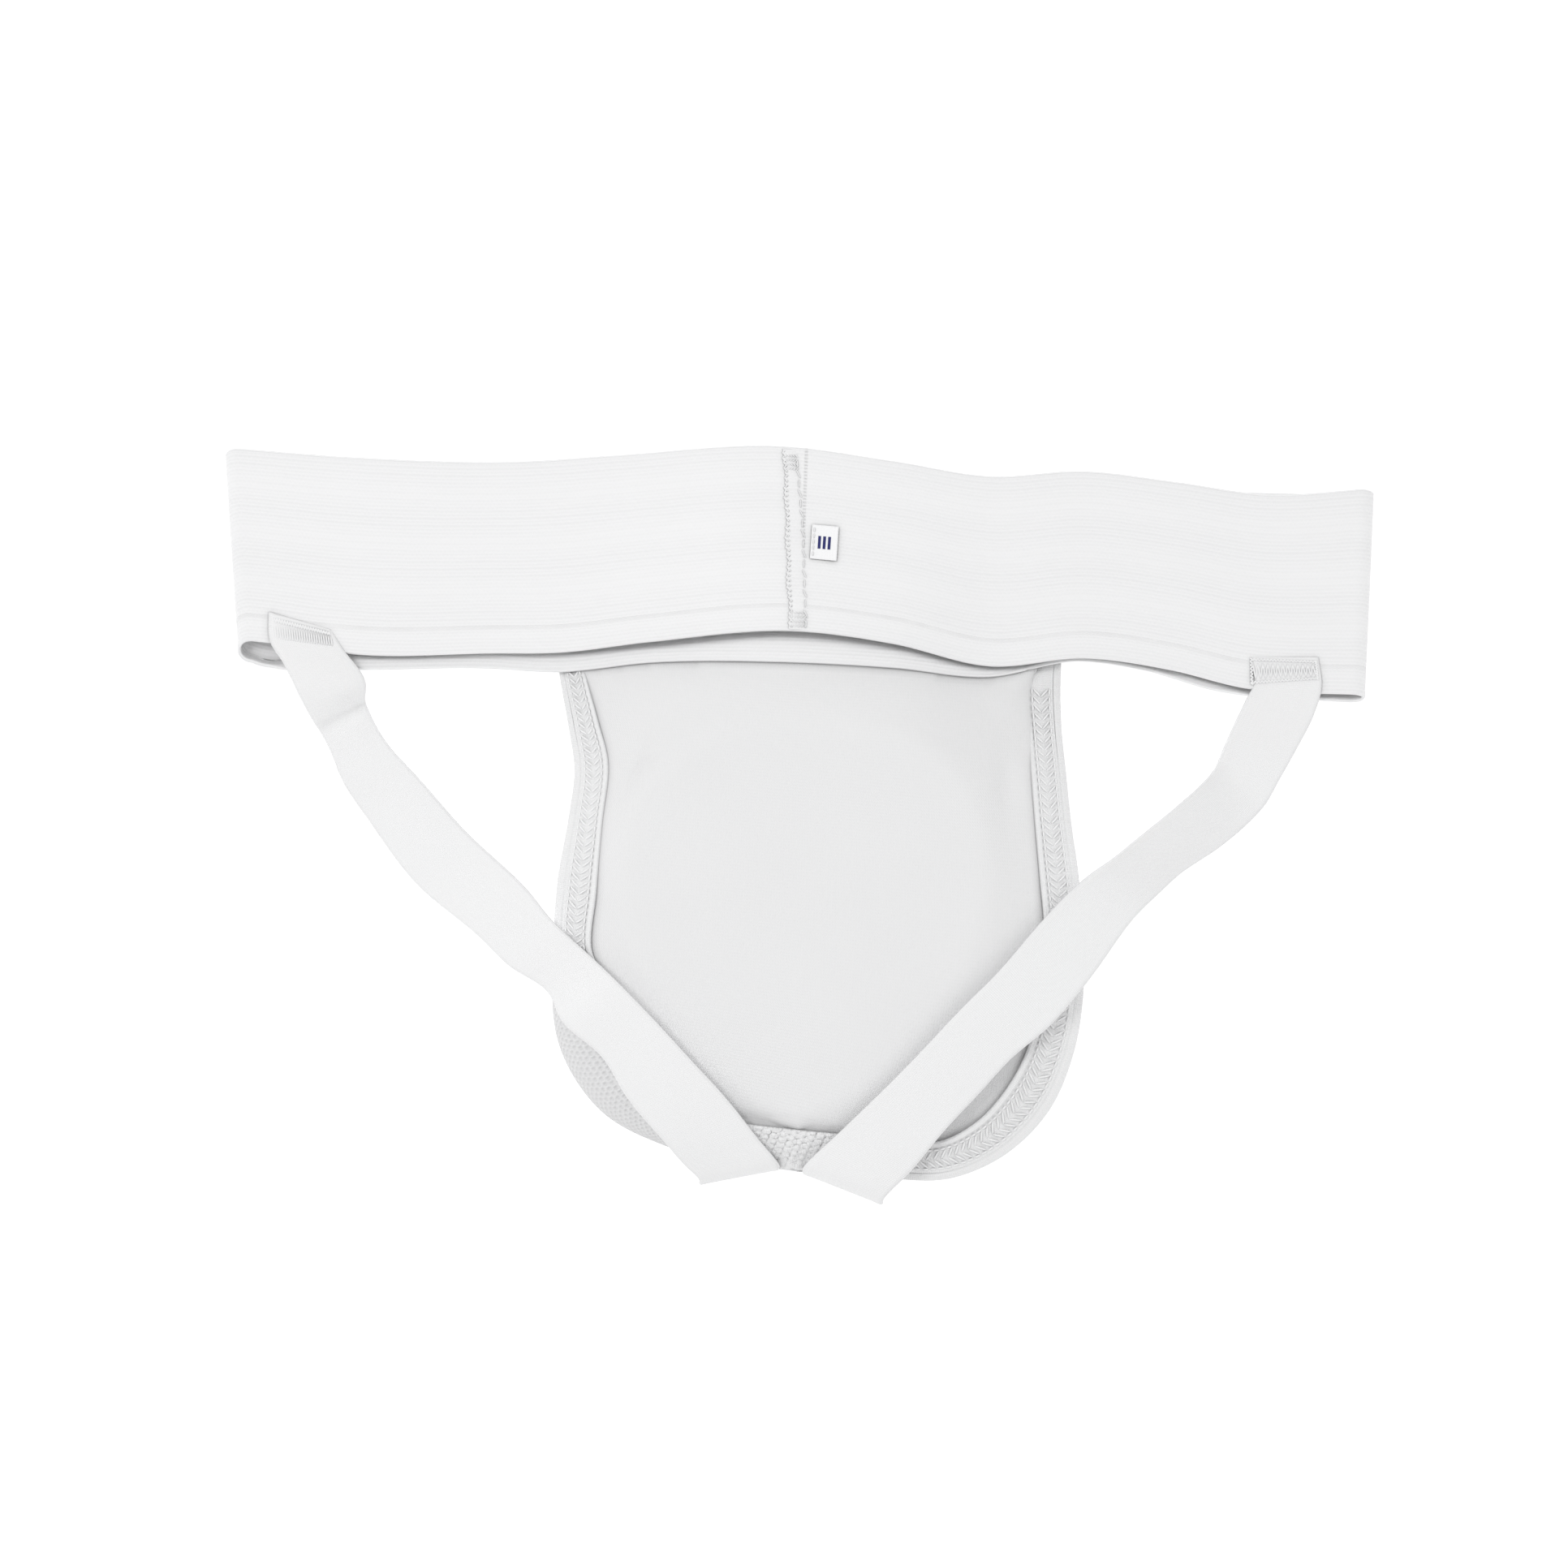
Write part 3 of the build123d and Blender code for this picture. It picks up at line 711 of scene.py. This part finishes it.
def in_quad(corners, u, v):
    """Points on the sewn end of a strap, in the quad of four plan corners, at shares u and v."""
    a, b, c, d = (np.array(corner, float) for corner in corners)
    u, v = np.asarray(u, float)[..., None], np.asarray(v, float)[..., None]
    plan = (a * (1 - u) + b * u) * (1 - v) + (d * (1 - u) + c * u) * v
    x, y = plan[..., 0], plan[..., 1]
    z = TACK_Z + TACK_SLOPE * (y - TACK_Y) + STRAP_THICK / 2
    return np.stack([x, y, z], -1)


def zigzag(corners, u_low, u_high, v_low, v_high, count):
    """Threads to and fro between two heights of a quad."""
    u = np.linspace(u_low, u_high, count)
    v = np.where(np.arange(count) % 2, v_high, v_low)
    points = in_quad(corners, u, v)
    return list(zip(points[:-1], points[1:]))


def comb(corners, v_low, v_high, count):
    """Threads side by side across a quad, each from one height to another."""
    u = np.linspace(0.02, 0.98, count)
    low = in_quad(corners, u, np.full(count, v_low))
    high = in_quad(corners, u, np.full(count, v_high))
    return list(zip(low, high))


LEFT_TACK = [(-179.2, 66.6), (-158.2, 61.6), (-157.2, 56.6), (-178.2, 58.2)]
RIGHT_TACK = [(156.2, 63.8), (179.4, 63.6), (180.2, 57.2), (156.8, 54.6)]
left_lines = zigzag(LEFT_TACK, 0.02, 0.98, 0.05, 0.3, 46) + comb(LEFT_TACK, 0.36, 0.98, 25)
right_lines = zigzag(RIGHT_TACK, 0.02, 0.98, 0.0, 0.12, 40)
right_lines += zigzag(RIGHT_TACK, 0.02, 0.98, 0.86, 0.98, 40)
right_lines += zigzag(RIGHT_TACK, 0.04, 0.96, 0.2, 0.8, 26)
for u_low, u_high in ((0.0, 0.045), (0.955, 1.0)):
    v = np.linspace(0.0, 1.0, 16)
    points = in_quad(RIGHT_TACK, np.where(np.arange(16) % 2, u_high, u_low), v)
    right_lines += list(zip(points[:-1], points[1:]))
for side, lines in (("left", left_lines), ("right", right_lines)):
    starts, ends = zip(*lines)
    tack = threads(f"{side}_tack_thread", starts, ends, radius=0.3, lift=0.14)
    finish_piece(tack, ROOT, thread, [f"{side}_strap_tack"])


# ---- Pouch edges -------------------------------------------------------------------
# Stations of each binding from the band to the lower end: outer x, y, z, inner x, y, z.
LEFT_RAIL = [
    (-81, 64, 4.2, -74, 64, 6.2), (-79.5, 51, 6.4, -71.5, 52, 10.6), (-75.5, 33, 12, -65.8, 34, 19),
    (-72.5, 18, 17.5, -61.5, 20, 26), (-73.5, 0, 26, -62.3, 0, 35), (-76, -21.5, 34, -63.2, -23, 42.5),
    (-75.5, -40, 39.5, -64, -42, 46.5), (-68, -58, 43.5, -56.5, -54, 50), (-55, -77, 46.5, -45, -71, 53),
    (-40, -95, 49, -31, -86, 55), (-28, -104, 50, -22, -93.5, 56), (-17, -109, 51, -15, -97, 56.5),
]
RIGHT_RAIL = [
    (92, 64, 3.4, 81, 64, 4.6), (91.8, 52, 4.6, 80.2, 52, 6.6), (92.5, 37, 8.4, 81.5, 36, 12),
    (94, 22, 15, 82.5, 22, 21.5), (95.8, 5, 23, 84, 4, 30.5), (98.5, -14, 31, 85.8, -14, 38),
    (100, -33, 36.5, 87.5, -31, 43.5), (100.5, -52, 40.5, 87, -50, 47.5), (98, -70, 44, 84, -66, 50.5),
    (89.5, -91, 47.5, 77, -82, 53), (74.5, -106, 49.5, 66, -95, 55), (57, -113.5, 51, 53, -101.8, 56),
    (40, -114, 51.5, 38, -102, 56.5), (24, -112.5, 51.5, 24, -100.8, 56.5),
]
RAIL_POINTS = 260
rails = {
    "left": along(LEFT_RAIL, RAIL_POINTS),
    "right": along(RIGHT_RAIL, RAIL_POINTS),
}


def on_rail(side, share, across, lift=0.0):
    """Points of a binding's middle surface, along it and across it from the outer edge."""
    path = rails[side]
    at = np.asarray(share, float) * (RAIL_POINTS - 1)
    index = np.arange(RAIL_POINTS)
    table = np.stack([np.interp(at, index, column) for column in path.T], -1)
    outer, inner = table[..., :3], table[..., 3:]
    across = np.asarray(across, float)[..., None]
    grid = outer * (1 - across) + inner * across
    crown = 0.55 * np.sin(math.pi * np.clip(across[..., 0], 0, 1)) ** 0.6
    ridge = 0.16 * bump_at(across[..., 0], 0.95, 0.05) - 0.22 * bump_at(across[..., 0], 0.88, 0.035)
    edge_line = -0.25 * bump_at(across[..., 0], 0.2, 0.03)
    return grid + UP * (crown + ridge + edge_line + lift)[..., None]


def binding_stitches(side):
    """The cover stitch along a binding: crossing loops between two needle lines, and an edge line."""
    lines = []
    steps = np.arange(0.055, 0.98, 0.0115)
    top = BINDING_THICK / 2 + 0.05
    for a, b in ((0.32, 0.56), (0.80, 0.56)):
        start = on_rail(side, steps, np.full(len(steps), a), top)
        finish = on_rail(side, steps + 0.0125, np.full(len(steps), b), top)
        lines += list(zip(start, finish))
    for across in (0.30, 0.82):
        start = on_rail(side, steps, np.full(len(steps), across), top)
        finish = on_rail(side, steps + 0.0095, np.full(len(steps), across), top)
        lines += list(zip(start, finish))
    return zip(*lines)


for side in rails:
    share, across = np.meshgrid(np.linspace(0, 1, 300), np.linspace(0, 1, 45))
    grid = on_rail(side, share, across)
    grid[..., 2] += 0.10 * np.sin(share * 260) * bump_at(across, 0.57, 0.22)
    binding = cloth(f"{side}_binding_elastic", grid, BINDING_THICK)
    finish_piece(binding, POUCH, binding_elastic, [f"{side}_binding"], blend=True)
    starts, ends = binding_stitches(side)
    stitching = threads(f"{side}_binding_thread", starts, ends, radius=0.34, lift=0.42, sides=6)
    finish_piece(stitching, POUCH, thread, blend=True)


# ---- Cup as an obstacle for the lining -------------------------------------------
rim_low, rim_high = cad_box("cup_rim_cushion")
CUP_X = (rim_low[0] + rim_high[0]) / 2
CUP_Y = (rim_low[1] + rim_high[1]) / 2
RIM_SLOPE = math.tan(math.radians(10.5))
# The rim's reach from its middle by angle from +X, for the right half, in millimetres.
RIM_REACH = [(-90, 66), (-57, 58), (-36, 55.5), (-12, 58), (18, 65), (48, 69.5), (72, 68), (90, 65)]


def rim_share(x, y):
    """Distance from the rim's middle as a share of the rim's reach in that direction."""
    dx, dy = np.abs(x - CUP_X), y - CUP_Y
    reach = through(RIM_REACH, np.degrees(np.arctan2(dy, dx)))
    return np.hypot(dx, dy) / reach


def cup_top(x, y):
    """Height that cloth has over the cup's rim: rounded at the rim's edge, and nothing outside."""
    share = rim_share(x, y)
    plane = rim_high[2] + 1.0 - (y - rim_low[1]) * RIM_SLOPE
    crown = 2.4 * np.clip(1 - share, 0, 1)
    past = np.clip((share - 0.96) * 60, 0, 9)
    return np.where(past < 9, plane + crown - past**2 / 9, -50.0)


# ---- Pocket lining ---------------------------------------------------------------
NO_FLOOR = -99.0


def relax(z, held, floor, rounds=900, push=1.7):
    """Pulls a net of heights tight between its held points and over what lies beneath."""
    rows, columns = np.indices(z.shape)
    parity = (rows + columns) % 2
    for n in range(rounds):
        mean = z.copy()
        mean[1:-1, 1:-1] = (z[:-2, 1:-1] + z[2:, 1:-1] + z[1:-1, :-2] + z[1:-1, 2:]) / 4
        moved = np.maximum(z + push * (mean - z), floor)
        z = np.where((parity == n % 2) & ~held, moved, z)
    return z


LINING_ROWS, LINING_COLUMNS = 150, 140
# How far across a binding the lining's edge lies under it, from the outer edge.
LINING_TUCK = 0.72
# Soft hollows beside the cup's upper corners: x, y, width, length and depth.
LINING_DENTS = [(-50.5, 21, 5, 13, 2.4), (74, 20, 5, 12, 2.4)]
CREASE_Y, CREASE_WIDTH, CREASE_DEPTH = -97, 2.4, 1.5
FRONT_GAP = BAND_THICK / 2 + LINING_THICK / 2 + 0.15


def lining_grid():
    share = np.linspace(0, 1, LINING_ROWS)
    tucked_in = np.full(LINING_ROWS, LINING_TUCK)
    left = on_rail("left", share, tucked_in, -BINDING_THICK / 2 - 0.3)
    right = on_rail("right", share, tucked_in, -BINDING_THICK / 2 - 0.3)
    across = np.linspace(0, 1, LINING_COLUMNS)[None, :, None]
    grid = left[:, None] * (1 - across) + right[:, None] * across
    x, y, z = np.moveaxis(grid, -1, 0)
    under = y > through(FRONT_LOWER, x)[..., 0] - 1.5
    tucked = front_height(x, y) - FRONT_GAP
    z = np.where(under, np.minimum(tucked, np.maximum(z, tucked)), z)
    held = under.copy()
    held[0], held[-1], held[:, 0], held[:, -1] = True, True, True, True
    floor = cup_top(x, y)
    z = relax(np.where(held, z, np.maximum(z, floor)), held, np.where(held, NO_FLOOR, floor))
    # A few free rounds round off the line where the cloth leaves the rim.
    for _ in range(6):
        z = relax(z, held, NO_FLOOR, rounds=2, push=0.9)
    free = np.sin(math.pi * np.clip(share[:, None], 0, 1)) * np.sin(math.pi * across[..., 0])
    z = z + 0.12 * ripple(x, y, 9.0) * free
    for dent_x, dent_y, width, length, depth in LINING_DENTS:
        z = z - depth * bump_at(x, dent_x, width) * bump_at(y, dent_y, length) * np.minimum(1, 5 * free)
    crease = (y - CREASE_Y + 0.1 * (x - 2)) / CREASE_WIDTH
    z = z - CREASE_DEPTH * np.exp(-crease**2) * bump_at(x, 0, 26)
    z = np.where(held, z, np.maximum(z, floor - 0.45))
    return np.stack([x, y, z], -1)


lining_points = lining_grid()
lining = cloth("pocket_lining_jersey", lining_points, LINING_THICK)
finish_piece(lining, POUCH, lining_jersey, ["pocket_lining"], blend=True)


# ---- Outer shell -------------------------------------------------------------------
# Down the middle seam, by share of the way from the band: y and z.
SEAM_LINE = [
    (0.0, 64, 21.5), (0.06, 55, 20.6), (0.14, 44, 17.0), (0.24, 30, 9.5), (0.36, 9, 1.8),
    (0.48, -16, 0.6), (0.6, -42, 0.6), (0.72, -67, 2.2), (0.82, -86, 9), (0.9, -100, 22),
    (0.96, -109, 37), (1.0, -113, 51),
]
# By the same share: how far the cloth is thrown out past the left edge and past the right edge.
LEFT_THROW = [(0, 0), (0.3, 2), (0.5, 10), (0.6, 36), (0.7, 56), (0.8, 55), (0.9, 32), (1, 6)]
RIGHT_THROW = [(0, 0), (0.3, 4), (0.6, 10), (0.8, 12), (0.9, 10), (1, 4)]
SHELL_ROWS, SHELL_COLUMNS = 130, 70


def shell_grid(side, throw):
    """One shaped panel, from the binding out, down and in to the middle seam."""
    share = np.linspace(0, 1, SHELL_ROWS)
    start = on_rail(side, share, np.full(SHELL_ROWS, 0.35), -BINDING_THICK / 2 - 1.0)
    outer = on_rail(side, share, np.zeros(SHELL_ROWS))
    inner = on_rail(side, share, np.ones(SHELL_ROWS))
    outward = unit((outer - inner) * [1, 1, 0])
    seam = through(SEAM_LINE, share)
    sign = -1 if side == "left" else 1
    seam_x = np.full(SHELL_ROWS, POUCH_X + sign * 0.15)
    finish_point = np.column_stack([seam_x, seam])
    reach = through(throw, share)[:, None]
    drop = (start[:, 2:] - finish_point[:, 2:]) * 0.62
    first = start + outward * reach - UP * drop
    second = finish_point + (start - finish_point) * [0.52, 0.35, 0.0]
    t = np.linspace(0, 1, SHELL_COLUMNS)[None, :, None]
    grid = (
        (1 - t) ** 3 * start[:, None] + 3 * (1 - t) ** 2 * t * first[:, None]
        + 3 * (1 - t) * t**2 * second[:, None] + t**3 * finish_point[:, None]
    )
    x, y, z = np.moveaxis(grid, -1, 0)
    rise = finish_point[:, 2:] - start[:, 2:]
    chord = start[:, 2:] + rise * np.abs((x - start[:, :1]) / (finish_point[:, :1] - start[:, :1]))
    rising = np.clip(rise / 4, 0, 1)
    z = z * (1 - rising) + np.minimum(z, chord - 0.8) * rising
    top = front_height(x, y) - FRONT_GAP - 1.0
    under = eased((y - through(FRONT_LOWER, x)[..., 0] + 10) / 9)
    z = z * (1 - under) + np.minimum(z, top) * under
    grid = np.stack([x, y, np.maximum(z, 0.55)], -1)
    return grid if side == "right" else grid[:, ::-1]


for side, throw in (("left", LEFT_THROW), ("right", RIGHT_THROW)):
    panel = cloth(f"front_panel_{side}_knit", shell_grid(side, throw), SHELL_THICK)
    finish_piece(panel, POUCH, outer_knit, [f"front_panel_{side}"], blend=True)

share = np.linspace(0.02, 0.95, 120)
seam_path = through(SEAM_LINE, share)
tape_middle = np.column_stack([np.full(len(share), POUCH_X), seam_path])
tape_grid = ribbon(tape_middle + [-4, 0, 1.0], tape_middle + [4, 0, 1.0], 9)
tape = cloth("front_seam_tape_cotton", tape_grid, 0.4)
finish_piece(tape, POUCH, seam_tape, ["front_seam_tape"], blend=True)


# ---- Lower tab and top hem -----------------------------------------------------
TAB_EDGE = [(-24, -96.5, 55.6), (-8, -98.2, 56.6), (8, -99.3, 56.8), (24, -100.4, 56.4), (36, -101, 56)]
TAB_END = [(-24, -109, 51.6), (-8, -110.6, 52), (8, -112.2, 52.2), (24, -112.8, 52), (36, -113, 52)]
TAB_START, TAB_LENGTH = -24, 60


def tab_point(u, v, lift=0.0):
    """A point of the tab, u along X and v from the lining to the lower end, which curls down."""
    x = TAB_START + TAB_LENGTH * u
    top, end = through(TAB_EDGE, x), through(TAB_END, x)
    y, z = np.moveaxis(top * (1 - v[..., None]) + end * v[..., None], -1, 0)
    turned = np.clip((v - 0.8) / 0.2, 0, 1)
    z = z + 0.9 * np.sin(math.pi * v) - 4.0 * turned**2
    return np.stack([x, y - 0.6 * turned, z + lift], -1)


u, v = np.meshgrid(np.linspace(0, 1, 150), np.linspace(0, 1, 40))
coarse, fine = ripple(TAB_LENGTH * u, 14 * v, 0.8), ripple(14 * v, TAB_LENGTH * u, 0.55)
lumps = 0.9 + 0.32 * coarse + 0.2 * fine
tab = cloth("bottom_tab_elastic", tab_point(u, v, lumps), 1.4)
finish_piece(tab, POUCH, binding_elastic, ["bottom_tab"])

x, y = np.meshgrid(np.linspace(-52, 70, 120), np.linspace(57.5, 69, 12))
hem_grid = np.stack([x, y, front_height(x, y) - FRONT_GAP - 2.1], -1)
hem = cloth("pouch_top_hem_knit", hem_grid, 0.6)
finish_piece(hem, ROOT, outer_knit, ["pouch_top_hem"])

# ---- Cup -------------------------------------------------------------------------
for node, material in (("cup_shell", cup_plastic), ("cup_rim_cushion", cup_rubber)):
    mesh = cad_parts[node].data
    mesh.materials.clear()
    mesh.materials.append(material)


# ---- Floor, light and camera -----------------------------------------------------
def plane(name, size, z):
    half = size / 2
    corners = [(-half, -half, z), (half, -half, z), (half, half, z), (-half, half, z)]
    return new_object(name, corners, [[0, 1, 2, 3]])


floor = plane("floor", 6000, -0.6)
floor_material = bpy.data.materials.new("floor_paper")
floor_material.use_nodes = True
floor_shader = floor_material.node_tree.nodes["Principled BSDF"]
floor_shader.inputs["Base Color"].default_value = (0.8, 0.8, 0.8, 1)
floor_shader.inputs["Roughness"].default_value = 1.0
floor_shader.inputs["Emission Color"].default_value = (1, 1, 1, 1)
floor_shader.inputs["Emission Strength"].default_value = 0.55
floor.data.materials.append(floor_material)


def softbox(name, place, size, power):
    """A square light that faces the middle of the object."""
    light = bpy.data.lights.new(name, "AREA")
    light.size = size
    light.energy = power
    obj = bpy.data.objects.new(name, light)
    obj.location = place
    aim = Vector((0, 0, 0.03)) - Vector(place)
    obj.rotation_euler = aim.to_track_quat("-Z", "Y").to_euler()
    bpy.context.scene.collection.objects.link(obj)


softbox("key", (-0.8, 0.5, 1.9), 0.6, 11.5)
softbox("fill", (0.9, -0.2, 1.8), 1.6, 4.5)

world = bpy.data.worlds.new("studio")
bpy.context.scene.world = world
world.use_nodes = True
background = world.node_tree.nodes["Background"]
background.inputs["Color"].default_value = (1, 1, 1, 1)
background.inputs["Strength"].default_value = 0.66

camera_data = bpy.data.cameras.new("camera")
camera_data.lens = 86.5
camera_data.sensor_width = 36
camera_data.clip_end = 20
camera = bpy.data.objects.new("camera", camera_data)
camera.location = (-0.0015, 0.015, 1.3)
camera.rotation_euler = (0, 0, math.radians(2.04))
bpy.context.scene.collection.objects.link(camera)
bpy.context.scene.camera = camera
bpy.context.scene.view_settings.view_transform = "Standard"
